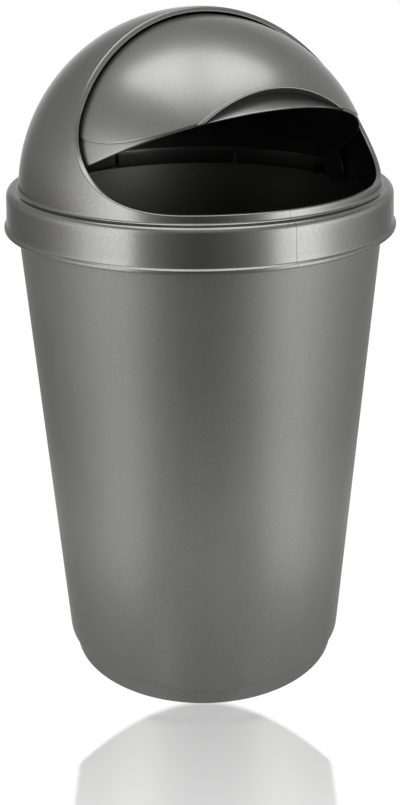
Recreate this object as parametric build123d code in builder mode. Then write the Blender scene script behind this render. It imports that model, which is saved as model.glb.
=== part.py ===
"""Sliding-lid trash can: a tapered bucket, a domed hood with a collar and a mouth, and a roll-top
flap that swings inside the hood on two push-in pivot pins.

Millimetres.  +Z is up, the origin is the centre of the foot ring on the floor, and the mouth
faces -Y.  The flap stands partly open, as it is seen in use.
"""
from build123d import *
from math import asin, cos, degrees, radians, sqrt, tan
import os

# driving sizes of the whole bin
dome_radius = 180.0
pivot_height = 490.0
foot_radius = 136.4
foot_height = 19.0
wall_taper = (182.0 - 143.4) / (457.0 - 20.3)

# bucket
bucket_wall = 2.0
shoulder_radius = 143.2
shoulder_chamfer = 2.4
foot_draft = 1.1
base_recess = 6.0
base_recess_radius = 131.0
base_thickness = 2.5
gate_radius = 5.0
gate_height = 0.8
rim_height = 492.3
rim_radius = 188.3
rim_thickness = 2.2
rim_skirt_depth = 9.0
rim_chamfer = 1.2

# hood: dome, collar and inner skirt
hood_wall = 2.4
groove_height = 494.6
collar_corner = (191.5, 501.0)
collar_round = 6.5
collar_foot = (192.8, 461.8)
collar_lip_radius = 195.0
collar_lip_high = 460.2
collar_lip_low = 458.0
collar_lip_round = 1.5
collar_bottom = 456.5
skirt_inner_radius = 175.2
skirt_top = 499.0
skirt_bottom = 480.0
slot_width = 5.0
slot_top = 496.5
slots_per_side = 3
guide_count = 8
guide_width = 2.4
guide_radius = 188.6
guide_depth = 1.6
guide_bottom = 463.0
guide_top = 488.0

# mouth of the hood seen from the side: it leans back above the cheek and ends in a level lip
mouth_lean = 19.4
mouth_cheek = (-38.7, 566.8)
mouth_lip = (-85.3, 505.3)
mouth_rounds = (120.0, 112.0)
mouth_flange = 2.2

# flap
flap_radius = 172.8
flap_step = 1.0
flap_wall = 2.0
flap_edge_height = 13.5
flap_rear_y = 8.0
panel_gap = 2.5
recess_half_width = 75.0
recess_rise = 20.5
recess_edge_depth = 0.8
recess_lean = 30.0
recess_lip_width = 3.5
recess_lip_height = 1.5
ear_radius = 16.0
ear_boss_radius = 11.0
ear_boss_depth = 4.0
parked_angle = 30.0

# pivot pins and the bosses that hold them
pin_radius = 3.95
pin_bore_radius = 4.0
pin_head_radius = 7.5
pin_head_thickness = 2.2
pin_head_gap = 0.3
pin_tip_x = 179.7
pin_chamfer = 0.8
pin_slit = 1.2
pin_slit_depth = 5.0
boss_radius = 8.0
boss_tip_x = 180.9
boss_bore_x = 180.0

# stops that end the flap's travel, moulded inside the hood in front of and behind each pivot
stop_inner_x = 167.0
stop_outer_x = 174.0
stop_width = 6.0
front_stop_y = -31.0
front_stop_top = 13.15
rear_stop_y = 29.0
rear_stop_top = -0.4

# worked out from the sizes above
reach = dome_radius + 20.0
floor_height = base_recess + base_thickness
dome_inner_radius = dome_radius - hood_wall
flap_base_radius = flap_radius - flap_step
flap_edge_z = pivot_height + flap_edge_height
recess_radius = (recess_half_width**2 + recess_rise**2) / (2 * recess_rise)
pivot_axis = Axis((0, 0, pivot_height), (1, 0, 0))


def cone_radius(height):
    """Outer radius of the bucket's tapered wall at a height."""
    return shoulder_radius + wall_taper * (height - foot_height - shoulder_chamfer)


def ball_radius_at(ball_radius, height):
    """Radius about the bin's axis of a ball centred on the pivot axis, at a height."""
    return sqrt(ball_radius**2 - (height - pivot_height) ** 2)


def rise_angle(ball_radius, height):
    """Angle above the pivot's level at which such a ball reaches a height, in degrees."""
    return degrees(asin((height - pivot_height) / ball_radius))


def shell_between(outer_radius, inner_radius):
    """Hollow ball centred on the pivot axis."""
    with BuildPart() as shell:
        with Locations((0, 0, pivot_height)):
            Sphere(outer_radius)
            Sphere(inner_radius, mode=Mode.SUBTRACT)
    return shell.part


def mouth_face(growth):
    """Side view of the space that the mouth cuts out of the dome, grown or shrunk all round."""
    top_z = pivot_height + reach
    mouth_top = (mouth_cheek[0] + (top_z - mouth_cheek[1]) * tan(radians(mouth_lean)), top_z)
    with BuildSketch(Plane.YZ) as face:
        with BuildLine():
            FilletPolyline(mouth_top, mouth_cheek, mouth_lip, (-reach, mouth_lip[1]), radius=mouth_rounds)
            Polyline((-reach, mouth_lip[1]), (-reach, top_z), mouth_top)
        make_face()
        if growth:
            offset(amount=growth, kind=Kind.INTERSECTION, mode=Mode.REPLACE)
    return face.sketch


def recess_face(growth):
    """Front view of the finger recess, a flat arc standing on the flap's lower edge."""
    with BuildSketch(Plane.XZ) as face:
        with Locations((0, flap_edge_z + recess_rise - recess_radius)):
            Circle(recess_radius + growth)
        with Locations((0, flap_edge_z - recess_rise)):
            Rectangle(reach * 2, reach * 2, align=(Align.CENTER, Align.MIN), mode=Mode.INTERSECT)
    return face.sketch


def scoop_space(depth, growth):
    """Space in front of a cone that leans in from the flap's lower edge, within the recess's outline."""
    low_z = flap_edge_z - recess_rise
    low_radius = flap_radius - depth + recess_rise * tan(radians(recess_lean))
    high_z = flap_edge_z + 2 * recess_rise
    high_radius = low_radius - (high_z - low_z) * tan(radians(recess_lean))
    with BuildPart() as space:
        with BuildSketch(Plane.XZ):
            Polygon(
                (low_radius, low_z),
                (reach + recess_rise, low_z),
                (reach + recess_rise, high_z),
                (high_radius, high_z),
                align=None,
            )
        revolve(axis=Axis.Z)
        extrude(recess_face(growth), amount=reach, mode=Mode.INTERSECT)
    return space.part


# bucket: one revolved wall with a stepped foot, a raised base and a flanged rim
with BuildPart() as bin_body:
    rim_root = rim_height - rim_thickness
    cone_start = foot_height + shoulder_chamfer
    with BuildSketch(Plane.XZ):
        with BuildLine():
            Polyline(
                (0, base_recess),
                (base_recess_radius, base_recess),
                (base_recess_radius + foot_draft, 0),
                (foot_radius, 0),
                (foot_radius + foot_draft, foot_height),
                (shoulder_radius - shoulder_chamfer, foot_height),
                (shoulder_radius, cone_start),
                (cone_radius(rim_root), rim_root),
                (rim_radius - bucket_wall, rim_root),
                (rim_radius - bucket_wall, rim_height - rim_skirt_depth),
                (rim_radius, rim_height - rim_skirt_depth),
                (rim_radius, rim_height),
                (cone_radius(rim_height) - bucket_wall, rim_height),
                (shoulder_radius - bucket_wall, cone_start),
                (shoulder_radius - shoulder_chamfer, foot_height + bucket_wall),
                (foot_radius + foot_draft - bucket_wall, foot_height + bucket_wall),
                (foot_radius - bucket_wall, floor_height),
                (0, floor_height),
                (0, base_recess),
            )
        make_face()
    revolve(axis=Axis.Z)
    rim_circles = bin_body.edges().filter_by(GeomType.CIRCLE).group_by(Axis.Z)[-1]
    chamfer(rim_circles.sort_by(SortBy.RADIUS)[-1], rim_chamfer)
    with BuildSketch(Plane.XY.offset(base_recess - gate_height)):
        Circle(gate_radius)
    extrude(amount=gate_height)
bin_body.part.label = "bin_body"

# frame of the mouth: the dome's edge turned in all round the mouth
with BuildPart() as mouth_frame:
    add(shell_between(dome_radius, skirt_inner_radius))
    extrude(mouth_face(mouth_flange), amount=reach, both=True, mode=Mode.INTERSECT)
    extrude(mouth_face(0), amount=reach, both=True, mode=Mode.SUBTRACT)

# hood: dome, collar that hangs over the bucket's rim, and a skirt that drops inside it
with BuildPart() as hood:
    groove = (ball_radius_at(dome_radius, groove_height), groove_height)
    groove_angle = rise_angle(dome_radius, groove_height)
    ledge_angle = rise_angle(dome_inner_radius, skirt_top)
    with BuildSketch(Plane.XZ):
        with BuildLine():
            CenterArc((0, pivot_height), dome_radius, groove_angle, 90 - groove_angle)
            FilletPolyline(groove, collar_corner, collar_foot, radius=collar_round)
            Polyline(
                collar_foot,
                (collar_lip_radius, collar_lip_high),
                (collar_lip_radius, collar_lip_low),
                (collar_lip_radius - collar_lip_round, collar_bottom),
                (collar_foot[0] - hood_wall, collar_bottom),
                (collar_corner[0] - hood_wall, rim_height),
                (dome_inner_radius, rim_height),
                (dome_inner_radius, skirt_bottom),
                (skirt_inner_radius, skirt_bottom),
                (skirt_inner_radius, skirt_top),
                (ball_radius_at(dome_inner_radius, skirt_top), skirt_top),
            )
            CenterArc((0, pivot_height), dome_inner_radius, ledge_angle, 90 - ledge_angle)
            Line((0, pivot_height + dome_inner_radius), (0, pivot_height + dome_radius))
        make_face()
    revolve(axis=Axis.Z)
    add(mouth_frame.part)
    extrude(mouth_face(0), amount=reach, both=True, mode=Mode.SUBTRACT)

    # slots in the skirt, left whole at the two pivots
    slot_depth = dome_inner_radius - skirt_inner_radius
    for first_angle in (45, 225):
        with Locations((0, 0, skirt_bottom)):
            with PolarLocations(dome_inner_radius, slots_per_side, first_angle, 90, endpoint=True):
                Box(
                    2 * slot_depth,
                    slot_width,
                    slot_top - skirt_bottom,
                    align=(Align.MAX, Align.CENTER, Align.MIN),
                    mode=Mode.SUBTRACT,
                )

    # guide ribs that centre the collar on the bucket's rim
    with Locations((0, 0, guide_bottom)):
        with PolarLocations(guide_radius, guide_count):
            Box(guide_depth, guide_width, guide_top - guide_bottom, align=(Align.MIN, Align.CENTER, Align.MIN))

    for side in (-1, 1):
        # boss behind the skirt that takes the pivot pin
        with BuildSketch(Plane.YZ.offset(side * dome_inner_radius)):
            with Locations((0, pivot_height)):
                Circle(boss_radius)
        extrude(amount=side * (boss_tip_x - dome_inner_radius))
        with BuildSketch(Plane.YZ.offset(side * skirt_inner_radius / 2)):
            with Locations((0, pivot_height)):
                Circle(pin_bore_radius)
        extrude(amount=side * (boss_bore_x - skirt_inner_radius / 2), mode=Mode.SUBTRACT)

        # stops that the flap's two edges come down on
        for stop_y, stop_top in ((front_stop_y, front_stop_top), (rear_stop_y, rear_stop_top)):
            with Locations((side * (stop_inner_x + stop_outer_x) / 2, stop_y, skirt_bottom)):
                Box(
                    stop_outer_x - stop_inner_x,
                    stop_width,
                    pivot_height + stop_top - skirt_bottom,
                    align=(Align.CENTER, Align.CENTER, Align.MIN),
                )
hood.part.label = "hood"

# raised panel of the flap, which follows the mouth with a small gap all round
with BuildPart() as flap_panel:
    add(shell_between(flap_radius, flap_radius - flap_wall))
    extrude(mouth_face(-panel_gap), amount=reach, both=True, mode=Mode.INTERSECT)

with BuildPart() as panel_hollow:
    add(shell_between(flap_radius - flap_wall, flap_radius - 2 * flap_wall))
    extrude(mouth_face(-panel_gap - flap_wall), amount=reach, both=True, mode=Mode.INTERSECT)

# finger recess: a scoop under a raised lip, and the wall behind it
scoop_wall = flap_wall / cos(radians(recess_lean))
with BuildPart() as recess_block:
    add(scoop_space(recess_edge_depth + scoop_wall, recess_lip_width))
    with Locations((0, 0, pivot_height)):
        Sphere(flap_radius + recess_lip_height, mode=Mode.INTERSECT)

# flap, modelled shut: a quarter of a ball with an ear at each pivot
with BuildPart() as flap_shut:
    add(shell_between(flap_base_radius, flap_base_radius - flap_wall))
    add(flap_panel.part)
    add(panel_hollow.part, mode=Mode.SUBTRACT)
    add(recess_block.part)
    add(scoop_space(recess_edge_depth, 0), mode=Mode.SUBTRACT)
    with BuildSketch(Plane.YZ):
        with Locations((flap_rear_y, flap_edge_z)):
            Rectangle(reach * 2, reach, align=(Align.MAX, Align.MIN))
        with Locations((flap_rear_y, pivot_height)):
            Rectangle(flap_rear_y + ear_radius, 2 * ear_radius, align=(Align.MAX, Align.MIN))
        with Locations((0, pivot_height)):
            Circle(ear_radius)
    extrude(amount=reach, both=True, mode=Mode.INTERSECT)
    for side in (-1, 1):
        # thick boss on the inside of the ear, bored for the pin
        ear_face_x = flap_base_radius - flap_wall - ear_boss_depth
        with BuildSketch(Plane.YZ.offset(side * ear_face_x)):
            with Locations((0, pivot_height)):
                Circle(ear_boss_radius)
        extrude(amount=side * (ear_boss_depth + flap_wall / 2))
        with BuildSketch(Plane.YZ.offset(side * ear_face_x)):
            with Locations((0, pivot_height)):
                Circle(pin_bore_radius)
        extrude(amount=side * ear_boss_depth * 2, mode=Mode.SUBTRACT)

# swung back about the pivots to where it stands in use
flap = flap_shut.part.rotate(pivot_axis, -parked_angle)
flap.label = "flap"


def build_pin(side):
    """Push-in pivot pin: a flat head inside the flap's ear and a slit shank held by the hood's boss."""
    head_x = ear_face_x - pin_head_gap
    with BuildPart() as pin:
        with BuildSketch(Plane.YZ.offset(side * (head_x - pin_head_thickness))):
            with Locations((0, pivot_height)):
                Circle(pin_head_radius)
        extrude(amount=side * pin_head_thickness)
        with BuildSketch(Plane.YZ.offset(side * head_x)):
            with Locations((0, pivot_height)):
                Circle(pin_radius)
        extrude(amount=side * (pin_tip_x - head_x))
        tips = pin.edges().filter_by(GeomType.CIRCLE).sort_by(Axis.X)
        chamfer(tips[-1] if side > 0 else tips[0], pin_chamfer)
        with Locations((side * pin_tip_x, 0, pivot_height)):
            Box(2 * pin_slit_depth, 2 * pin_head_radius, pin_slit, mode=Mode.SUBTRACT)
    return pin.part


pivot_pin_left = build_pin(-1)
pivot_pin_left.label = "pivot_pin_left"
pivot_pin_right = build_pin(1)
pivot_pin_right.label = "pivot_pin_right"

os.makedirs("parts", exist_ok=True)
for piece in (bin_body.part, hood.part, flap, pivot_pin_left, pivot_pin_right):
    export_step(piece, f"parts/{piece.label}.step")
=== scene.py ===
import math

import bmesh
import bpy
import numpy as np
from mathutils import Matrix, Vector


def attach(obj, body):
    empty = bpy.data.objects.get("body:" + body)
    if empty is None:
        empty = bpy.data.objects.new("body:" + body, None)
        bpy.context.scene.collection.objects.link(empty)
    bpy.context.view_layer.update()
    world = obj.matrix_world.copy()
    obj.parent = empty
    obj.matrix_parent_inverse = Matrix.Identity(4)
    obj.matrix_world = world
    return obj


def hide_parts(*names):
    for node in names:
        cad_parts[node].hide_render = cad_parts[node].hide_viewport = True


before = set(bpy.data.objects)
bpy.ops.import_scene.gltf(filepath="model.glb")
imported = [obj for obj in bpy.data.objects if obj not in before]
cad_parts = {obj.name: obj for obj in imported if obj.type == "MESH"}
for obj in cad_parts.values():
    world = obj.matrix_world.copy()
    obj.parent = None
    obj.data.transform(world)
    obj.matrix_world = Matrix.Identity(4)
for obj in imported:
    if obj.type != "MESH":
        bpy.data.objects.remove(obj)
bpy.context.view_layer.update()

# Bucket.  The real one is a single thin-walled moulding in silver-pigmented polypropylene, turned
# all round: stepped foot, raised base, tapered wall and a flanged rim that the hood sits on.
# Here its section is drawn once and turned by Geometry Nodes.
MM = 0.001
BUCKET_WALL = 2.0
# radius and height of the wall just above the foot and just under the collar
WALL_LOW = (143.4, 20.3)
WALL_HIGH = (182.0, 457.0)
WALL_TAPER = (WALL_HIGH[0] - WALL_LOW[0]) / (WALL_HIGH[1] - WALL_LOW[1])
SHOULDER = (143.2, 19.0)
SHOULDER_RISE = 2.4
BASE_LOW = 6.0
BASE_TOP = 8.5
GATE_RADIUS = 5.0
GATE_LOW = 5.2
RIM_TOP = 492.3
RIM_RADIUS = 188.3
FLANGE_INSIDE = 186.3
FLANGE_LOW = 483.3
FLANGE_UNDERSIDE = 490.1
# edges that turn by more than this many degrees stay sharp
SHARP_ANGLE = 38.0


def wall_radius(height):
    """Outer radius of the bucket's wall at a height."""
    return SHOULDER[0] + WALL_TAPER * (height - SHOULDER[1] - SHOULDER_RISE)


def rounded_path(corners, turn_step, longest=None):
    """Points along straight runs whose corners are rounded.  A corner is (a, b) or (a, b, radius).

    The turn step is the angle between points on a rounding, in degrees.
    """
    corners = [(c[0], c[1], c[2] if len(c) > 2 else 0.0) for c in corners]
    path = [np.array(corners[0][:2], float)]

    def run_to(goal):
        start = path[-1]
        count = 1
        if longest:
            count = max(1, int(math.ceil(np.linalg.norm(goal - start) / longest)))
        for k in range(1, count + 1):
            path.append(start + (goal - start) * k / count)

    for before, here, after in zip(corners, corners[1:], corners[2:]):
        corner = np.array(here[:2], float)
        back = np.array(before[:2], float) - corner
        ahead = np.array(after[:2], float) - corner
        back /= np.linalg.norm(back)
        ahead /= np.linalg.norm(ahead)
        half = math.acos(np.clip(back @ ahead, -1, 1)) / 2
        if here[2] == 0 or half > math.pi / 2 - 1e-6:
            run_to(corner)
            continue
        reach = here[2] / math.tan(half)
        centre = corner + (back + ahead) / np.linalg.norm(back + ahead) * here[2] / math.sin(half)
        first = corner + back * reach - centre
        last = corner + ahead * reach - centre
        swing = math.atan2(first[0] * last[1] - first[1] * last[0], first @ last)
        count = max(2, int(math.ceil(abs(math.degrees(swing)) / turn_step)))
        if longest:
            count = max(count, int(math.ceil(abs(swing) * here[2] / longest)))
        run_to(centre + first)
        for k in range(1, count + 1):
            c, s = math.cos(swing * k / count), math.sin(swing * k / count)
            path.append(centre + np.array((first[0] * c - first[1] * s, first[0] * s + first[1] * c)))
    run_to(np.array(corners[-1][:2], float))
    return np.array(path)


class Wire:
    """A number that changes over a surface.  Sums and products of it add Math nodes."""

    def __init__(self, tree, socket):
        self.tree = tree
        self.socket = socket

    def combine(self, operation, first, second):
        """Adds a Math node that takes two wires or numbers."""
        maths = self.tree.nodes.new("ShaderNodeMath")
        maths.operation = operation
        for socket, value in zip(maths.inputs, (first, second)):
            if isinstance(value, Wire):
                self.tree.links.new(value.socket, socket)
            else:
                socket.default_value = value
        return Wire(self.tree, maths.outputs[0])

    def __add__(self, other):
        return self.combine("ADD", self, other)

    def __radd__(self, other):
        return self.combine("ADD", other, self)

    def __sub__(self, other):
        return self.combine("SUBTRACT", self, other)

    def __rsub__(self, other):
        return self.combine("SUBTRACT", other, self)

    def __mul__(self, other):
        return self.combine("MULTIPLY", self, other)

    def __rmul__(self, other):
        return self.combine("MULTIPLY", other, self)


class Finish:
    """A material whose nodes are added one call at a time.  Each gives back the wire of one output."""

    def __init__(self, name):
        self.material = bpy.data.materials.new(name)
        self.material.use_nodes = True
        self.tree = self.material.node_tree
        self.tree.nodes.clear()

    def node(self, kind, settings=None, sockets=None, output=0):
        """Adds a node, with its settings and the values or wires of its sockets."""
        made = self.tree.nodes.new(kind)
        for key, value in (settings or {}).items():
            if key == "stops":
                ramp = made.color_ramp
                while len(ramp.elements) < len(value):
                    ramp.elements.new(1.0)
                for element, (place, colour) in zip(ramp.elements, value):
                    element.position = place
                    element.color = colour
            else:
                setattr(made, key, value)
        for key, value in (sockets or {}).items():
            if isinstance(value, Wire):
                self.tree.links.new(value.socket, made.inputs[key])
            else:
                made.inputs[key].default_value = value
        return Wire(self.tree, made.outputs[output]) if made.outputs else None

    def fade(self, value, first, last, start=0.0, end=1.0):
        """Smooth step from the start value at the first place to the end value at the last."""
        return self.node(
            "ShaderNodeMapRange", {"interpolation_type": "SMOOTHSTEP"},
            {"Value": value, "From Min": first, "From Max": last, "To Min": start, "To Max": end},
        )

    def absolute(self, value):
        """A number without its sign."""
        return self.node("ShaderNodeMath", {"operation": "ABSOLUTE"}, {0: value})

    def blend(self, factor, dark, light, **settings):
        """Colour between two colours."""
        return self.node(
            "ShaderNodeMix", {"data_type": "RGBA", **settings},
            {"Factor": factor, 6: (*dark, 1.0), 7: (*light, 1.0)}, output=2,
        )

    def surface(self, sockets):
        """Ends the material with a Principled surface and returns it."""
        made = self.node("ShaderNodeBsdfPrincipled", None, sockets)
        self.node("ShaderNodeOutputMaterial", None, {"Surface": made})
        return self.material


# the weld line: its slope to the side as it runs back, how far it wanders and its half width, in metres
WELD_SLOPE = 0.11
WELD_WANDER = 0.004
WELD_HALF = 0.0009


def silver_plastic(name, dark, light, roughness, metal, coat, coat_roughness, streaks, weld=0.0):
    """Plastic with fine aluminium flake in it: cloudy flow marks, sparkle and a slight orange peel.

    A weld is the faint line near the front centre where the plastic flows met in the mould.
    """
    paint = Finish(name)
    place = paint.node("ShaderNodeTexCoord", output="Object")
    cloud = paint.node(
        "ShaderNodeTexNoise", {"noise_dimensions": "3D"},
        {"Vector": place, "Scale": 9.0, "Detail": 3.0, "Roughness": 0.55},
    )
    flake = paint.node(
        "ShaderNodeTexVoronoi", {"feature": "F1"}, {"Vector": place, "Scale": 900.0}, output="Color"
    )
    sparkle = paint.node("ShaderNodeSeparateColor", None, {"Color": flake})
    stretched = paint.node(
        "ShaderNodeMapping", {"vector_type": "TEXTURE"}, {"Vector": place, "Scale": (1.0, 1.0, 14.0)}
    )
    flow = paint.node("ShaderNodeTexNoise", None, {"Vector": stretched, "Scale": 38.0, "Detail": 4.0})
    peel = paint.node("ShaderNodeTexNoise", None, {"Vector": place, "Scale": 260.0, "Detail": 2.0})
    grain = paint.node("ShaderNodeTexNoise", None, {"Vector": place, "Scale": 2600.0, "Detail": 1.0})
    tone = 0.45 * cloud + streaks * flow + 0.35 * sparkle
    relief = 0.6 * peel + 0.4 * grain + 0.5 * flow * streaks
    if weld:
        x, y = (paint.node("ShaderNodeSeparateXYZ", None, {"Vector": place}, output=k) for k in "XY")
        across = paint.absolute(x - WELD_SLOPE * y + WELD_WANDER * (flow - 0.5))
        seam = paint.fade(across, 0.0, WELD_HALF, weld, 0.0)
        front = paint.node("ShaderNodeMath", {"operation": "LESS_THAN"}, {0: y, 1: 0.0})
        tone = tone - seam * front
        relief = relief - 2.0 * seam * front
    colour = paint.blend(tone, dark, light, clamp_factor=False)
    rough = (roughness - 0.06) + 0.07 * cloud + 0.05 * flow
    bump = paint.node("ShaderNodeBump", None, {"Strength": 0.06, "Distance": 0.0003, "Height": relief})
    return paint.surface({
        "Base Color": colour, "Roughness": rough, "Normal": bump, "Metallic": metal, "IOR": 1.49,
        "Specular Tint": (0.35, 0.35, 0.35, 1.0), "Coat Weight": coat, "Coat Roughness": coat_roughness,
    })


class Recipe:
    """A Geometry Nodes tree, with named inputs and one geometry out, built one node at a time."""

    def __init__(self, name, takes, gives):
        self.tree = bpy.data.node_groups.new(name, "GeometryNodeTree")
        for label, kind in takes.items():
            self.tree.interface.new_socket(label, in_out="INPUT", socket_type="NodeSocket" + kind)
        self.tree.interface.new_socket(gives, in_out="OUTPUT", socket_type="NodeSocketGeometry")
        self.given = self.tree.nodes.new("NodeGroupInput").outputs

    def node(self, kind, sockets=None, output=0, **settings):
        """Adds a node, with its sockets and settings, and gives back one of its outputs."""
        made = self.tree.nodes.new(kind)
        for key, value in settings.items():
            setattr(made, key, value)
        for slot, value in (sockets or {}).items():
            if isinstance(value, bpy.types.NodeSocket):
                self.tree.links.new(value, made.inputs[slot])
            else:
                made.inputs[slot].default_value = value
        return made.outputs[output] if made.outputs else None

    def maths(self, operation, a, b=0.0):
        """Adds a sum, product or other operation on numbers."""
        return self.node("ShaderNodeMath", {0: a, 1: b}, operation=operation)

    def serve(self, shape):
        """Makes the pieces real, gives them the finish and returns the tree."""
        real = self.node("GeometryNodeRealizeInstances", {0: shape})
        finished = self.node("GeometryNodeSetMaterial", {0: real, "Material": self.given["Finish"]})
        self.node("NodeGroupOutput", {0: finished})
        return self.tree


def turning_tree():
    """Geometry Nodes that turn a section drawn in X and Z about the Z axis."""
    takes = {"Section": "Geometry", "Steps Round": "Int", "Finish": "Material"}
    lathe = Recipe("turned_wall", takes, "Wall")
    section, steps_round = lathe.given["Section"], lathe.given["Steps Round"]
    rows = lathe.node("GeometryNodeAttributeDomainSize", {0: section}, "Point Count", component="MESH")
    columns = lathe.maths("ADD", steps_round, 1.0)
    sheet = lathe.node("GeometryNodeMeshGrid", {"Vertices X": columns, "Vertices Y": rows})
    index = lathe.node("GeometryNodeInputIndex")
    column = lathe.maths("FLOOR", lathe.maths("DIVIDE", lathe.maths("ADD", index, 0.5), rows))
    row = lathe.maths("SUBTRACT", index, lathe.maths("MULTIPLY", column, rows))
    drawn = lathe.node(
        "GeometryNodeSampleIndex", {0: section, 1: lathe.node("GeometryNodeInputPosition"), 2: row},
        data_type="FLOAT_VECTOR", domain="POINT",
    )
    radius, height = (lathe.node("ShaderNodeSeparateXYZ", {0: drawn}, k) for k in "XZ")
    turn = lathe.maths("DIVIDE", lathe.maths("MULTIPLY", column, 2 * math.pi), steps_round)
    x = lathe.maths("MULTIPLY", radius, lathe.maths("COSINE", turn))
    y = lathe.maths("MULTIPLY", radius, lathe.maths("SINE", turn))
    placed = lathe.node("ShaderNodeCombineXYZ", {0: x, 1: y, 2: height})
    turned = lathe.node("GeometryNodeSetPosition", {0: sheet, 2: placed})
    return lathe.serve(lathe.node("GeometryNodeMergeByDistance", {"Geometry": turned, "Distance": 1e-6}))


def linked(name, data):
    """Object with this mesh or camera, put in the scene."""
    made = bpy.data.objects.new(name, data)
    bpy.context.scene.collection.objects.link(made)
    return made


def mesh_object(name, points, faces):
    """Object with a mesh of these points, given in millimetres."""
    mesh = bpy.data.meshes.new(name)
    mesh.from_pydata((np.asarray(points, float) * MM).tolist(), [], [tuple(map(int, f)) for f in faces])
    return linked(name, mesh)


def tidy(piece, finish=None):
    """Merges doubles, turns faces outwards, smooths all but sharp edges and gives the finish."""
    work = bmesh.new()
    work.from_mesh(piece.data)
    bmesh.ops.remove_doubles(work, verts=work.verts, dist=1e-6)
    bmesh.ops.dissolve_degenerate(work, dist=1e-7, edges=work.edges)
    bmesh.ops.recalc_face_normals(work, faces=work.faces)
    if work.calc_volume(signed=True) < 0:
        bmesh.ops.reverse_faces(work, faces=work.faces)
    work.to_mesh(piece.data)
    work.free()
    piece.data.polygons.foreach_set("use_smooth", [True] * len(piece.data.polygons))
    piece.data.set_sharp_from_angle(angle=math.radians(SHARP_ANGLE))
    if finish is not None:
        piece.data.materials.clear()
        piece.data.materials.append(finish)
    return piece


def baked(piece):
    """Plain mesh object of a piece with its modifiers applied."""
    shaped = piece.evaluated_get(bpy.context.evaluated_depsgraph_get())
    mesh = bpy.data.meshes.new_from_object(shaped)
    name = piece.name
    bpy.data.objects.remove(piece)
    mesh.name = name
    return linked(name, mesh)


def with_tree(piece, tree, **values):
    """Puts a Geometry Nodes tree on a piece, sets its named inputs and bakes it."""
    modifier = piece.modifiers.new("shape", "NODES")
    modifier.node_group = tree
    for item in tree.interface.items_tree:
        if item.item_type == "SOCKET" and item.in_out == "INPUT" and item.name in values:
            modifier[item.identifier] = values[item.name]
    return baked(piece)


# from the gate mark under the base round the foot, up the wall, over the rim and back down inside
bucket_section = rounded_path(
    [
        (0.0, GATE_LOW), (GATE_RADIUS, GATE_LOW, 0.3), (GATE_RADIUS, BASE_LOW), (130.6, BASE_LOW, 1.2),
        (131.9, 0.0, 1.0), (136.4, 0.0, 1.6), (137.5, SHOULDER[1], 1.0), (*SHOULDER, 2.6),
        (wall_radius(FLANGE_UNDERSIDE), FLANGE_UNDERSIDE, 1.2), (FLANGE_INSIDE, FLANGE_UNDERSIDE, 1.0),
        (FLANGE_INSIDE, FLANGE_LOW, 0.8), (RIM_RADIUS, FLANGE_LOW, 0.8), (RIM_RADIUS, RIM_TOP, 1.5),
        (wall_radius(RIM_TOP) - BUCKET_WALL, RIM_TOP, 0.9), (140.9, SHOULDER[1] + BUCKET_WALL, 2.0),
        (135.5, SHOULDER[1] + BUCKET_WALL, 1.5), (134.4, BASE_TOP, 2.0), (0.0, BASE_TOP),
    ],
    turn_step=15.0, longest=12.0,
)
drawing = bpy.data.meshes.new("bucket_section")
drawing.from_pydata(
    [(a * MM, 0.0, b * MM) for a, b in bucket_section],
    [(k, k + 1) for k in range(len(bucket_section) - 1)], [],
)
bucket = linked("bucket", drawing)
bucket_silver = silver_plastic(
    "bucket_silver", (0.098, 0.098, 0.093), (0.148, 0.148, 0.140),
    roughness=0.44, metal=0.88, coat=0.2, coat_roughness=0.30, streaks=0.3,
)
bucket = with_tree(bucket, turning_tree(), **{"Steps Round": 360, "Finish": bucket_silver})
tidy(bucket, bucket_silver)
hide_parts("bin_body")
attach(bucket, "bin")

# Hood.  One moulding: a ball-shaped dome cut open at the front, a collar that hangs over the
# bucket's rim, and a skirt inside it with slots.  The mouth's edge is rounded and turned in.
# Its skin is a net of lines that run from the mouth's edge over the dome, the collar and back.
PIVOT = 490.0
DOME = 180.0
DOME_INSIDE = 177.6
SKIRT_INSIDE = 175.2
LEDGE = 499.0
COLLAR = 195.0
COLLAR_FOOT = 456.5
SKIRT_FOOT = 480.0
DOME_FOOT = 499.6
# the mouth from the side, in Y and Z: it leans back above the cheek and ends in a level lip
MOUTH_LEAN = 19.4
MOUTH_CHEEK = (-38.7, 566.8)
MOUTH_LIP = (-85.3, 505.3)
CHEEK_ROUND = 120.0
LIP_ROUND = 112.0
ABOVE_DOME = 700.0
BEFORE_DOME = -200.0
MOUTH_CORNERS = [
    (MOUTH_CHEEK[0] + (ABOVE_DOME - MOUTH_CHEEK[1]) * math.tan(math.radians(MOUTH_LEAN)), ABOVE_DOME),
    (*MOUTH_CHEEK, CHEEK_ROUND), (*MOUTH_LIP, LIP_ROUND), (BEFORE_DOME, MOUTH_LIP[1]),
]
# where the turned-in edge of the mouth meets the skin outside and inside: distance outside the
# outline and radius about the pivots, and how far out the edge's step lies
EDGE_FRONT = (2.0, DOME)
EDGE_BACK = (3.2, DOME_INSIDE)
EDGE_STEP = 2.2


def shifted(corners, distance):
    """Corners of the same outline, moved outwards by a distance all round."""
    runs = []
    for here, there in zip(corners, corners[1:]):
        ahead = np.array(there[:2]) - np.array(here[:2])
        ahead /= np.linalg.norm(ahead)
        runs.append((np.array(here[:2]) + distance * np.array([-ahead[1], ahead[0]]), ahead))
    moved = [tuple(runs[0][0])]
    for (start, u), (other, v), corner in zip(runs, runs[1:], corners[1:]):
        apart = other - start
        share = (apart[0] * v[1] - apart[1] * v[0]) / (u[0] * v[1] - u[1] * v[0])
        moved.append((*(start + u * share), corner[2] + distance))
    moved.append((corners[-1][0], corners[-1][1] + distance * runs[-1][1][0]))
    return moved


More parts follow.
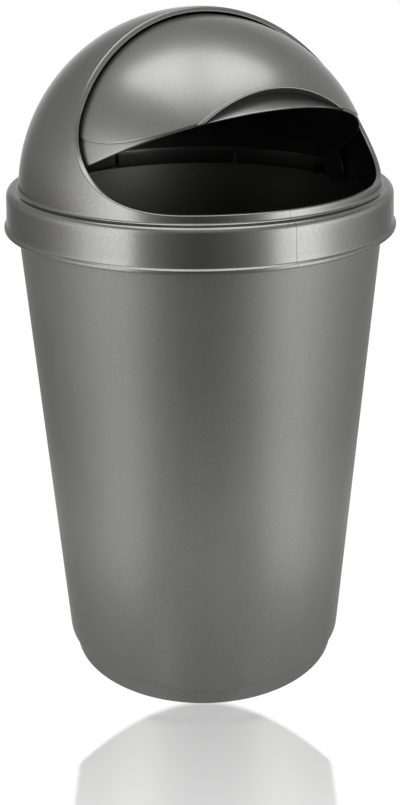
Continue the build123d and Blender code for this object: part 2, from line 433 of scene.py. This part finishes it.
class BallOutline:
    """Closed line on a ball about the pivots: a side-view outline carried straight across in X.

    Its first and last edges run round the ball in planes, with the given numbers of points in a half.
    """

    def __init__(self, corners, ends, step=2.4):
        path = rounded_path([(c[0], c[1] - PIVOT, *c[2:]) for c in corners], 15.0, step)
        ahead = np.diff(path, axis=0)
        ahead /= np.linalg.norm(ahead, axis=1)[:, None]
        self.first, self.last = ahead[0], ahead[-1]
        start = np.flatnonzero(np.linalg.norm(ahead - self.first, axis=1) > 1e-9)[0]
        stop = np.flatnonzero(np.linalg.norm(ahead - self.last, axis=1) > 1e-9)[-1] + 1
        along = ahead[start - 1 : stop] + ahead[start : stop + 1]
        along[0], along[-1] = self.first, self.last
        along /= np.linalg.norm(along, axis=1)[:, None]
        self.points = path[start : stop + 1]
        self.normals = np.stack([-along[:, 1], along[:, 0]], 1)
        # an odd number of points, so that a half has one in its middle
        self.ends = (ends[0], ends[1] + (len(self.points) + sum(ends) + 1) % 2)

    def half(self, offset, ball):
        """Points with X above zero, from the middle of the first edge to the middle of the last."""
        middle = self.points + self.normals * offset
        across = np.sqrt(np.maximum(ball**2 - (middle**2).sum(1), 0))
        middle = np.column_stack([across, middle])

        def arc(point, direction, count, leading):
            foot = point - direction * (point @ direction)
            radius = math.sqrt(ball**2 - foot @ foot)
            edge = math.acos(np.clip(-(point @ direction) / radius, -1, 1))
            if leading:
                turns = np.linspace(0, edge, count + 1)[:-1]
            else:
                turns = np.linspace(edge, math.pi, count + 1)[1:]
            line = foot[None, :] - np.outer(np.cos(turns), direction) * radius
            return np.column_stack([np.sin(turns) * radius, line])

        lead = arc(middle[0, 1:], self.first, self.ends[0], True)
        tail = arc(middle[-1, 1:], self.last, self.ends[1], False)
        return np.vstack([lead, middle, tail])

    def loop(self, offset, ball):
        """The whole line, both halves."""
        right = self.half(offset, ball)
        left = right[1:-1][::-1] * np.array([-1.0, 1.0, 1.0])
        return np.vstack([right, left]) + np.array([0.0, 0.0, PIVOT])


def over_ball(first, last, ball, rows):
    """Rows of points that lead over the ball from one line to another, each point the short way."""
    middle = np.array([0.0, 0.0, PIVOT])
    a, b = first - middle, last - middle
    a /= np.linalg.norm(a, axis=1)[:, None]
    b /= np.linalg.norm(b, axis=1)[:, None]
    swing = np.arccos(np.clip((a * b).sum(1), -1, 1))
    safe = np.maximum(swing, 1e-9)
    made = []
    for k in range(rows + 1):
        f = k / rows
        wa = np.where(swing > 1e-6, np.sin((1 - f) * safe) / np.sin(safe), 1 - f)
        wb = np.where(swing > 1e-6, np.sin(f * safe) / np.sin(safe), f)
        line = a * wa[:, None] + b * wb[:, None]
        line /= np.linalg.norm(line, axis=1)[:, None]
        made.append(middle + line * ball)
    return made


def ring_faces(rows, columns, closed_rows):
    """Faces of a net whose columns run in a ring and whose rows may close too."""
    faces = []
    for r in range(rows if closed_rows else rows - 1):
        below, above = r * columns, ((r + 1) % rows) * columns
        for c in range(columns):
            d = (c + 1) % columns
            faces.append((below + c, below + d, above + d, above + c))
    return faces


def boolean(piece, operation, *others):
    """Cuts or joins other solids into a piece and removes them."""
    for other in others:
        modifier = piece.modifiers.new(operation, "BOOLEAN")
        modifier.operation = operation
        modifier.solver = "MANIFOLD"
        modifier.object = other
    made = baked(piece)
    for other in others:
        bpy.data.objects.remove(other)
    return made


mouth = BallOutline(MOUTH_CORNERS, ends=(56, 40))
# bearing from the front of each line of the net where it reaches the collar: straight below the
# mouth's lip, and spread round the back in step with the rest of the mouth's edge
half_edge = mouth.half(0.0, DOME) + np.array([0.0, 0.0, PIVOT])
azimuth = np.degrees(np.arctan2(half_edge[:, 0], -half_edge[:, 1]))
steps = np.linalg.norm(np.diff(half_edge, axis=0), axis=1)
travelled = np.concatenate([[0], np.cumsum(steps)])
lip_start = len(half_edge) - 1 - mouth.ends[1]
share = 1 - travelled[: lip_start + 1] / travelled[lip_start]
azimuth[: lip_start + 1] = azimuth[lip_start] + (180.0 - azimuth[lip_start]) * share
bearing = np.radians(np.concatenate([azimuth, -azimuth[1:-1][::-1]]))


def ring(radius, height):
    """Level ring about the bin's axis whose points lie below those of the mouth's edge."""
    level = np.full(len(bearing), height)
    return np.column_stack([radius * np.sin(bearing), -radius * np.cos(bearing), level])


# from the foot of the dome through the groove, over the shoulder, down the collar to its bead, up
# inside it, down and up the skirt and on to the ledge where the inside of the dome begins
hood_section = rounded_path(
    [
        (math.sqrt(DOME**2 - (DOME_FOOT - PIVOT) ** 2), DOME_FOOT), (179.92, 496.7, 3.1),
        (188.6, 497.2, 4.5), (191.95, 492.8, 8.5), (192.8, 461.8, 1.5), (COLLAR, 460.2, 0.7),
        (COLLAR, 457.4, 0.8), (194.0, COLLAR_FOOT, 0.6), (190.4, COLLAR_FOOT, 0.6),
        (189.1, RIM_TOP, 1.5), (DOME_INSIDE, RIM_TOP, 0.8), (DOME_INSIDE, SKIRT_FOOT, 1.0),
        (SKIRT_INSIDE, SKIRT_FOOT, 1.0), (SKIRT_INSIDE, LEDGE, 0.9),
        (math.sqrt(DOME_INSIDE**2 - (LEDGE - PIVOT) ** 2), LEDGE),
    ],
    turn_step=15.0, longest=6.0,
)
edge_section = rounded_path(
    [
        EDGE_BACK, (EDGE_STEP, DOME_INSIDE, 0.4), (EDGE_STEP, SKIRT_INSIDE, 0.5),
        (0.0, SKIRT_INSIDE, 0.7), (0.0, DOME, 1.2), EDGE_FRONT,
    ],
    turn_step=15.0,
)
lines = over_ball(mouth.loop(*EDGE_FRONT), ring(*hood_section[0]), DOME, rows=60)
lines += [ring(r, z) for r, z in hood_section[1:]]
lines += over_ball(ring(*hood_section[-1]), mouth.loop(*EDGE_BACK), DOME_INSIDE, rows=40)[1:]
lines += [mouth.loop(d, r) for d, r in edge_section[1:-1]]
hood = mesh_object("hood_moulding", np.vstack(lines), ring_faces(len(lines), len(bearing), True))
tidy(hood)


def solid(name, work):
    """Object with a mesh drawn in bmesh."""
    mesh = bpy.data.meshes.new(name)
    work.to_mesh(mesh)
    work.free()
    return linked(name, mesh)


def block(name, low, high):
    """Box-shaped solid between two corners, in millimetres."""
    work = bmesh.new()
    bmesh.ops.create_cube(work, size=1.0)
    low, high = Vector(low), Vector(high)
    for vert in work.verts:
        vert.co = Vector(((low[k] + high[k]) / 2 + vert.co[k] * (high[k] - low[k])) * MM for k in range(3))
    return solid(name, work)


def rod(name, radius, first_x, last_x):
    """Round bar along the pivot axis."""
    work = bmesh.new()
    bmesh.ops.create_cone(work, cap_ends=True, segments=48, radius1=radius, radius2=radius, depth=1.0)
    low, high = sorted((first_x, last_x))
    for vert in work.verts:
        x, y, z = vert.co
        vert.co = Vector((((low + high) / 2 + z * (high - low)) * MM, y * MM, (PIVOT + x) * MM))
    bmesh.ops.recalc_face_normals(work, faces=work.faces)
    return solid(name, work)


def around_tree():
    """Geometry Nodes that set copies of a solid round the bin's axis, the first one where it stands."""
    takes = {"Solid": "Geometry", "Count": "Int", "Spacing": "Float", "Finish": "Material"}
    carousel = Recipe("set_round", takes, "Ring")
    spots = carousel.node("GeometryNodePoints", {"Count": carousel.given["Count"]})
    turn = carousel.maths("MULTIPLY", carousel.node("GeometryNodeInputIndex"), carousel.given["Spacing"])
    spin = carousel.node("ShaderNodeCombineXYZ", {"Z": turn})
    return carousel.serve(carousel.node(
        "GeometryNodeInstanceOnPoints",
        {"Points": spots, "Instance": carousel.given["Solid"], "Rotation": spin},
    ))


# guide ribs inside the collar, slots in the skirt, and at each side a boss for the pivot pin with
# its bore and two stops for the flap, in millimetres
EIGHTH_TURN = math.pi / 4
GUIDE_LOW = (188.6, -1.2, 463.0)
GUIDE_HIGH = (190.9, 1.2, 488.0)
SLOT_LOW = (SKIRT_INSIDE - 2, -2.5, 478.0)
SLOT_HIGH = (DOME_INSIDE + 1.5, 2.5, 496.5)
BOSS_RADIUS = 8.0
BOSS_X = (176.6, 180.9)
BORE_RADIUS = 4.0
BORE_X = (170.0, 180.0)
STOP_X = (167.0, 174.0)
STOP_HALF = 3.0
# middle of each stop in Y and height of its top above the pivots
STOPS = ((-31.0, 13.15), (29.0, -0.4))
hood_silver = silver_plastic(
    "hood_silver", (0.095, 0.095, 0.092), (0.135, 0.135, 0.130),
    roughness=0.24, metal=0.9, coat=0.3, coat_roughness=0.10, streaks=0.12, weld=0.9,
)
set_round = around_tree()
guides = block("guides", GUIDE_LOW, GUIDE_HIGH)
guides = with_tree(guides, set_round, Count=8, Spacing=EIGHTH_TURN, Finish=hood_silver)
# the skirt's slots stand at every eighth turn except at the two pivots
slots = []
for first in (EIGHTH_TURN, -3 * EIGHTH_TURN):
    cutter = block("slots", SLOT_LOW, SLOT_HIGH)
    cutter.data.transform(Matrix.Rotation(first, 4, "Z"))
    slots.append(with_tree(cutter, set_round, Count=3, Spacing=EIGHTH_TURN, Finish=hood_silver))
bosses, bores, stops = [], [], []
for side in (-1, 1):
    bosses.append(rod("boss", BOSS_RADIUS, *(side * x for x in BOSS_X)))
    bores.append(rod("bore", BORE_RADIUS, *(side * x for x in BORE_X)))
    inner, outer = sorted(side * x for x in STOP_X)
    for middle, top in STOPS:
        low, high = (inner, middle - STOP_HALF, SKIRT_FOOT), (outer, middle + STOP_HALF, PIVOT + top)
        stops.append(block("stop", low, high))
hood = boolean(hood, "DIFFERENCE", *slots)
hood = boolean(hood, "UNION", guides, *bosses, *stops)
hood = boolean(hood, "DIFFERENCE", *bores)
tidy(hood, hood_silver)
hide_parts("hood")
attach(hood, "hood")

# Flap.  A thin quarter of a ball with a raised panel that follows the mouth, a finger recess with
# a proud lip on its lower edge, and an ear at each pivot.  It is drawn shut and then swung back.
FLAP = 171.8
FLAP_PANEL = 172.8
FLAP_MIDDLE = 170.9
FLAP_INSIDE = 169.8
FLAP_EDGE = 13.5
FLAP_BACK = 8.0
EAR_HALF = 16.0
EAR_ROUND = 15.9
EAR_RADIUS = 11.0
EAR_X = (165.8, 170.4)
EAR_BORE_X = (160.0, 175.0)
PAST_FLAP = 240.0
PARKED = 30.0
# the shut flap from the side: level lower edge, round the ear and straight up its rear edge
flap_outline = BallOutline(
    [
        (-PAST_FLAP, PIVOT + FLAP_EDGE), (-EAR_HALF, PIVOT + FLAP_EDGE, 2.0),
        (-EAR_HALF, PIVOT - EAR_HALF, EAR_ROUND), (EAR_HALF, PIVOT - EAR_HALF, EAR_ROUND),
        (EAR_HALF, PIVOT + 6.0, 6.0), (FLAP_BACK, PIVOT + 13.9, 4.0), (FLAP_BACK, PIVOT + PAST_FLAP),
    ],
    ends=(70, 70), step=1.6,
)


def ball_patch(outline, section, rows_out, rows_in):
    """Closed thin shell on the ball inside an outline, its edge shaped by a section of (offset, radius)."""
    def columns(half):
        """Lower and upper half of the whole line, both from left to right."""
        count = (len(half) + 1) // 2
        lower, upper = half[:count], half[::-1][:count]
        mirror = np.array([-1.0, 1.0, 1.0])
        lower = np.vstack([lower[1:][::-1] * mirror, lower])
        upper = np.vstack([upper[1:][::-1] * mirror, upper])
        lift = np.array([0.0, 0.0, PIVOT])
        return lower + lift, upper + lift

    outer = over_ball(*columns(outline.half(*section[0])), section[0][1], rows_out)
    inner = over_ball(*columns(outline.half(*section[-1])), section[-1][1], rows_in)
    lower_edge = [columns(outline.half(*place))[0] for place in section]
    upper_edge = [columns(outline.half(*place))[1] for place in section]
    points, faces = [], []
    for grid in (outer, inner[::-1], lower_edge, upper_edge[::-1]):
        start = sum(len(p) for p in points)
        across = len(grid[0])
        points += list(grid)
        for r in range(len(grid) - 1):
            for c in range(across - 1):
                a = start + r * across + c
                faces.append((a, a + 1, a + across + 1, a + across))
    return np.vstack(points), faces


shell_edge = rounded_path(
    [
        (3.0, FLAP), (0.9, FLAP, 1.6), (0.0, FLAP_MIDDLE, 0.5), (0.0, FLAP_INSIDE, 0.5),
        (2.0, FLAP_INSIDE),
    ],
    turn_step=12.0,
)
flap = mesh_object("flap_moulding", *ball_patch(flap_outline, shell_edge, rows_out=60, rows_in=40))
tidy(flap)
# the raised panel stands back from the mouth's outline by the gap, but at the bottom it drops
# further, almost to the flap's rounded lower edge
PANEL_GAP = 2.5
PANEL_DROP = 3.0
panel_corners = shifted(MOUTH_CORNERS, -PANEL_GAP)
(cheek_y, cheek_z, _), (lip_y, lip_z, lip_round), (end_y, _) = panel_corners[1:]
lip_y -= PANEL_DROP * (cheek_y - lip_y) / (cheek_z - lip_z)
panel_corners[2:] = [(lip_y, lip_z - PANEL_DROP, lip_round), (end_y, lip_z - PANEL_DROP)]
panel_outline = BallOutline(panel_corners[::-1], ends=(40, 52))
panel_edge = rounded_path(
    [(2.0, FLAP_PANEL), (0.0, FLAP_PANEL, 0.7), (0.0, FLAP_MIDDLE, 0.2), (2.0, FLAP_MIDDLE)],
    turn_step=18.0,
)
panel = mesh_object("panel", *ball_patch(panel_outline, panel_edge, rows_out=50, rows_in=20))
tidy(panel)
flap = boolean(flap, "UNION", panel)
tidy(flap)

flap_silver = silver_plastic(
    "flap_silver", (0.105, 0.105, 0.103), (0.145, 0.145, 0.141),
    roughness=0.32, metal=0.9, coat=0.3, coat_roughness=0.16, streaks=0.12,
)

# the finger recess is a scoop under a round arc, whose cone-shaped floor leans in under the lip;
# the lip follows the arc on its outside and stands proud of the panel
SCOOP_HALF = 75.0
SCOOP_RISE = 20.5
SCOOP_CIRCLE = (SCOOP_HALF**2 + SCOOP_RISE**2) / (2 * SCOOP_RISE)
SCOOP_CENTRE = FLAP_EDGE + SCOOP_RISE - SCOOP_CIRCLE
SCOOP_EDGE = 172.0
SCOOP_LEAN = math.tan(math.radians(33.0))
SCOOP_WALL = 2.3
LIP_WIDTH = 3.5
LIP_TOP = 174.3
LIP_EDGE_ROUND = 0.9
HOLE_OFFSET = 1.8


def on_ball(x, z, ball):
    """Point on a ball about the pivots."""
    return np.array([x, -math.sqrt(ball**2 - x * x - z * z), z + PIVOT])


def on_cone(x, z, depth):
    """Point on the scoop's floor, or that much behind it."""
    around = SCOOP_EDGE - depth - (z - FLAP_EDGE) * SCOOP_LEAN
    return np.array([x, -math.sqrt(around**2 - x * x), z + PIVOT])


def scoop(name, arc_offset, section):
    """Solid that follows the recess's arc.  Each section point is a function of the turn on the arc."""
    reach = SCOOP_CIRCLE + arc_offset
    end = math.acos((FLAP_EDGE - SCOOP_CENTRE) / reach)
    turns = np.linspace(-end, end, 121)
    rows = [[place(t) for place in section] for t in turns]
    count = len(section)
    points = np.array(rows).reshape(-1, 3)
    faces = []
    for r in range(len(turns) - 1):
        for c in range(count):
            a, b = r * count + c, r * count + (c + 1) % count
            faces.append((a, b, b + count, a + count))
    faces.append(tuple(range(count))[::-1])
    faces.append(tuple(range(len(points) - count, len(points))))
    return mesh_object(name, points, faces)


def arc_point(offset, surface, amount):
    """Section point at a distance outside the recess's arc, on a ball or on the scoop's cone."""
    def place(t):
        x = (SCOOP_CIRCLE + offset) * math.sin(t)
        z = max(SCOOP_CENTRE + (SCOOP_CIRCLE + offset) * math.cos(t), FLAP_EDGE)
        return surface(x, z, amount)
    return place


def floor_point(share, depth):
    """Section point between the arc and the flap's lower edge, on the scoop's floor or behind it."""
    def place(t):
        x = SCOOP_CIRCLE * math.sin(t)
        z = max(SCOOP_CENTRE + SCOOP_CIRCLE * math.cos(t), FLAP_EDGE)
        return on_cone(x, FLAP_EDGE + (z - FLAP_EDGE) * (1 - share), depth)
    return place


# the hole reaches well in front of the flap and behind it
hole = scoop("hole", HOLE_OFFSET, [
    arc_point(HOLE_OFFSET, on_ball, 180.0), arc_point(HOLE_OFFSET, on_ball, 150.0),
    floor_point(1.0, 20.0), floor_point(1.0, -12.0),
])
lip_path = rounded_path(
    [
        (0.0, 171.0), (0.0, LIP_TOP, LIP_EDGE_ROUND), (LIP_WIDTH, LIP_TOP, LIP_EDGE_ROUND),
        (LIP_WIDTH, 172.2),
    ],
    turn_step=18.0,
)
# over the lip, down its back, down behind the floor, round the lower edge and up the floor
scoop_section = [arc_point(d, on_ball, r) for d, r in lip_path]
scoop_section += [arc_point(LIP_WIDTH, on_ball, 171.9), arc_point(SCOOP_WALL, on_ball, 170.6)]
scoop_section += [arc_point(SCOOP_WALL, on_cone, SCOOP_WALL)]
scoop_section += [floor_point(k / 8, SCOOP_WALL) for k in range(1, 9)]
scoop_section += [floor_point(1.0, 1.4), floor_point(1.0, 0.5), floor_point(0.97, 0.1)]
scoop_section += [floor_point(1 - k / 12, 0.0) for k in range(1, 13)]
recess = scoop("recess", LIP_WIDTH, scoop_section)
tidy(recess)
tidy(hole)
flap = boolean(flap, "DIFFERENCE", hole)
flap = boolean(flap, "UNION", recess)
ears = [rod("ear", EAR_RADIUS, *(side * x for x in EAR_X)) for side in (-1, 1)]
flap = boolean(flap, "UNION", *ears)
bores = [rod("bore", BORE_RADIUS, *(side * x for x in EAR_BORE_X)) for side in (-1, 1)]
flap = boolean(flap, "DIFFERENCE", *bores)
axis = Matrix.Translation((0, 0, PIVOT * MM))
flap.data.transform(axis @ Matrix.Rotation(math.radians(-PARKED), 4, "X") @ axis.inverted())
tidy(flap, flap_silver)
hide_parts("flap")
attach(flap, "flap")

# Pivot pins.  Two push-in pins in black acetal with slit shanks; their flat heads show inside the
# flap's ears.  The solids already have the real shape, so they only get their finish here.
acetal = Finish("pin_black")
pin_place = acetal.node("ShaderNodeTexCoord", output="Object")
pin_grain = acetal.node("ShaderNodeTexNoise", None, {"Vector": pin_place, "Scale": 1800.0, "Detail": 2.0})
pin_tone = acetal.blend(pin_grain, (0.012, 0.012, 0.013), (0.03, 0.03, 0.032))
pin_bump = acetal.node("ShaderNodeBump", None, {"Strength": 0.15, "Distance": 0.0002, "Height": pin_grain})
pin_rough = 0.35 + 0.2 * pin_grain
pin_black = acetal.surface({"Base Color": pin_tone, "Roughness": pin_rough, "Normal": pin_bump})
for name in ("pivot_pin_left", "pivot_pin_right"):
    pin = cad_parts[name]
    pin.data.materials.clear()
    pin.data.materials.append(pin_black)

# Floor: a plain white light table.  As in the photograph, a faint reflection stands only in front
# of the foot, where the table has a glossy patch, and fades towards the camera.  Part of that fade
# comes from the patch ending, and part is a painted glow of the patch that grows towards the camera.
TURN = math.radians(32.0)
to_bin = Vector((math.sin(TURN), math.cos(TURN), 0.0))
to_right = Vector((math.cos(TURN), -math.sin(TURN), 0.0))
FLOOR_HALF = 6000.0
# the glossy patch in metres: nearness to the camera where it begins, in an arc that follows the
# foot, and where it ends, and the squared distances to the side where it ends
PATCH_START = (0.126, 0.140)
PATCH_ARC = 6.5
PATCH_END = (0.3, 0.36)
PATCH_SIDES = (0.0125, 0.0148)
# glow of the table, painted glow of the patch beside the foot and how much stronger that gets per
# metre towards the camera, which paints the fading of the reflection
TABLE_GLOW = 1.04
PATCH_GLOW = 0.48
PATCH_GAIN = 1.0
PATCH_FOOT = 0.135


class Studio(Finish):
    """Finish of a studio sheet.  It knows its place to the camera's right, towards the camera and up."""

    def __init__(self, name):
        super().__init__(name)
        self.place = self.node("ShaderNodeTexCoord", output="Object")
        x, y, self.up = (self.node("ShaderNodeSeparateXYZ", None, {"Vector": self.place}, k) for k in "XYZ")
        self.right = x * to_right.x + y * to_right.y
        self.near = x * -to_bin.x + y * -to_bin.y


def square(name, half, height, face):
    """Level square sheet about the bin's axis, in millimetres, whose face takes the corners in an order."""
    corners = ((-half, -half, height), (half, -half, height), (half, half, height), (-half, half, height))
    return mesh_object(name, corners, [face])


floor = square("floor", FLOOR_HALF, 0.0, (0, 1, 2, 3))
table = Studio("light_table")
table_noise = table.node("ShaderNodeTexNoise", None, {"Vector": table.place, "Scale": 3.0, "Detail": 2.0})
aside = table.right * table.right
mirror = table.fade(table.near - PATCH_ARC * aside, *PATCH_START) * (1.0 - table.fade(aside, *PATCH_SIDES))
mirror = mirror * (1.0 - table.fade(table.near, *PATCH_END))
table_tone = table.blend(table_noise, (0.38, 0.38, 0.38), (0.41, 0.41, 0.41))
# painted glow: the patch lights up more towards the camera, painting the fade of its reflection
painted_patch_glow = PATCH_GLOW + PATCH_GAIN * (table.near - PATCH_FOOT)
floor.data.materials.append(table.surface({
    "Base Color": table_tone * mirror, "Roughness": 0.16 + 0.03 * table_noise, "Metallic": mirror,
    "Specular IOR Level": 0.0, "Emission Color": painted_patch_glow * mirror + TABLE_GLOW * (1.0 - mirror),
    "Emission Strength": 1.0,
}))

# Light: a round tent with bright panels to the left and right of the camera and a dark gap behind
# it, a broad glowing roof over the bin and a plain white room outside.
ROOF_HALF = 1400.0
ROOF_HEIGHT = 1750.0
ROOF_GLOW = 1.0
STRIP_GLOW = 4.5
TENT_RADIUS = 1600.0
TENT_TOP = 1500.0
APRON_HEIGHT = 3.0
# rows of the tent, radius and height: an apron just over the table, its edge and the wall
TENT_ROWS = [(radius, APRON_HEIGHT) for radius in (300.0, 450.0, 700.0, TENT_RADIUS)]
TENT_ROWS += [(TENT_RADIUS, 30.0), (TENT_RADIUS, TENT_TOP)]
# radiance of the tent at bearings from the camera's side of the bin, in degrees to the right
BRIGHTEST = 6.0
TENT_BANDS = [
    (-180, 1.14), (-160, 1.14), (-135, 0.75), (-105, 0.8), (-90, 1.1), (-80, 1.8), (-70, 2.7),
    (-58, 4.1), (-47, 5.2), (-38, 5.2), (-34, 1.6), (-26, 0.75), (-14, 0.3), (0, 0.12),
    (16, 0.35), (30, 0.8), (37, 1.8), (44, 5.4), (58, 5.9), (66, 5.0), (74, 3.5),
    (84, 2.5), (95, 1.8), (110, 1.3), (135, 1.0), (160, 1.14), (180, 1.14),
]
TENT_STOPS = [(degrees / 360 + 0.5, (*[glow / BRIGHTEST] * 3, 1.0)) for degrees, glow in TENT_BANDS]


def shine(sheet, paint, radiance):
    """Makes a sheet glow, out of the camera's sight."""
    sheet.data.materials.append(paint.surface({
        "Base Color": (0.0, 0.0, 0.0, 1.0), "Roughness": 1.0, "Specular IOR Level": 0.0,
        "Emission Color": radiance, "Emission Strength": 1.0,
    }))
    sheet.visible_camera = False
    sheet.visible_shadow = False


roof = square("roof", ROOF_HALF, ROOF_HEIGHT, (0, 3, 2, 1))
cloth = Studio("roof_cloth")
# a bright strip across the roof, narrower towards the camera and a little weaker in its middle
off_middle = cloth.absolute(cloth.right)
ahead = cloth.node("ShaderNodeMath", {"operation": "MAXIMUM"}, {0: cloth.near, 1: 0.0})
strip = 1.0 - cloth.fade(off_middle + 0.85 * ahead, 0.75, 1.0)
strip = strip * (0.68 + 0.32 * cloth.fade(off_middle, 0.0, 0.2))
depth = (1.0 - cloth.fade(cloth.near, 0.15, 1.05)) * cloth.fade(cloth.near, -0.5, -0.2)
shine(roof, cloth, ROOF_GLOW + STRIP_GLOW * strip * depth)

tent_turns = np.radians(np.arange(0, 360, 3))
tent_rim = np.column_stack([np.cos(tent_turns), np.sin(tent_turns)])
tent_points = [np.column_stack([tent_rim * r, np.full(len(tent_rim), z)]) for r, z in TENT_ROWS]
tent = mesh_object("tent", np.vstack(tent_points), ring_faces(len(TENT_ROWS), len(tent_rim), False))
cloth = Studio("tent_cloth")
turn = cloth.node("ShaderNodeMath", {"operation": "ARCTAN2"}, {0: cloth.right, 1: cloth.near})
bands = cloth.node("ShaderNodeValToRGB", {"stops": TENT_STOPS}, {0: turn * (0.5 / math.pi) + 0.5})
# the right-hand panel ends low, so the upper front stays dark
high_right = cloth.fade(cloth.up, 0.85, 1.3) * cloth.fade(turn, 0.5, 0.75)
high_right = high_right * (1.0 - cloth.fade(turn, 1.9, 2.3))
# 0 on the apron and 1 on the wall, and the apron's own glow, which is strongest near the bin
wall = cloth.fade(cloth.up, 0.004, 0.02)
apart = cloth.right * cloth.right + cloth.near * cloth.near
apron = 1.1 - 0.5 * cloth.fade(apart, 0.1, 0.4) - 0.45 * cloth.fade(cloth.near, 0.4, 0.8)
panels = bands * BRIGHTEST * (1.0 - 0.82 * high_right)
# the sides of the tent are a little darker near the table than higher up
low_sides = cloth.fade(cloth.absolute(turn), 1.1, 1.4) * (0.3 - 0.45 * cloth.fade(cloth.up, 0.15, 0.7))
panels = panels * (1.0 - low_sides)
# the apron also gives back a third of what the panel above it does
shine(tent, cloth, panels * (0.33 + 0.67 * wall) + apron * (1.0 - wall))
world = bpy.data.worlds.new("studio")
world.use_nodes = True
backdrop = world.node_tree.nodes["Background"]
backdrop.inputs["Color"].default_value = (1.0, 1.0, 1.0, 1.0)
backdrop.inputs["Strength"].default_value = 1.0
bpy.context.scene.world = world
bpy.context.scene.view_settings.view_transform = "Standard"

# Camera at the photograph's viewing angle: 32 degrees to the left of the mouth, looking down 13.
PITCH = 0.2299
ROLL = 0.00955
DISTANCE = 1.1931
HEIGHT = 0.7550
# size of the picture, focal length and row of the optical axis, in the photograph's pixels
PICTURE_HEIGHT = 805.0
FOCAL = 1220.25
AXIS_ROW = 201.56
SENSOR = 36.0
forward = to_bin * math.cos(PITCH) + Vector((0, 0, -math.sin(PITCH)))
upward = to_bin * math.sin(PITCH) + Vector((0, 0, math.cos(PITCH)))
rolled_right = to_right * math.cos(ROLL) - upward * math.sin(ROLL)
rolled_up = to_right * math.sin(ROLL) + upward * math.cos(ROLL)
lens = bpy.data.cameras.new("camera")
lens.sensor_width = SENSOR
lens.lens = SENSOR * FOCAL / PICTURE_HEIGHT
lens.shift_y = -(PICTURE_HEIGHT / 2 - AXIS_ROW) / PICTURE_HEIGHT
camera = linked("camera", lens)
turned = Matrix((rolled_right, rolled_up, -forward)).transposed().to_4x4()
camera.matrix_world = Matrix.Translation(-to_bin * DISTANCE + Vector((0, 0, HEIGHT))) @ turned
bpy.context.scene.camera = camera
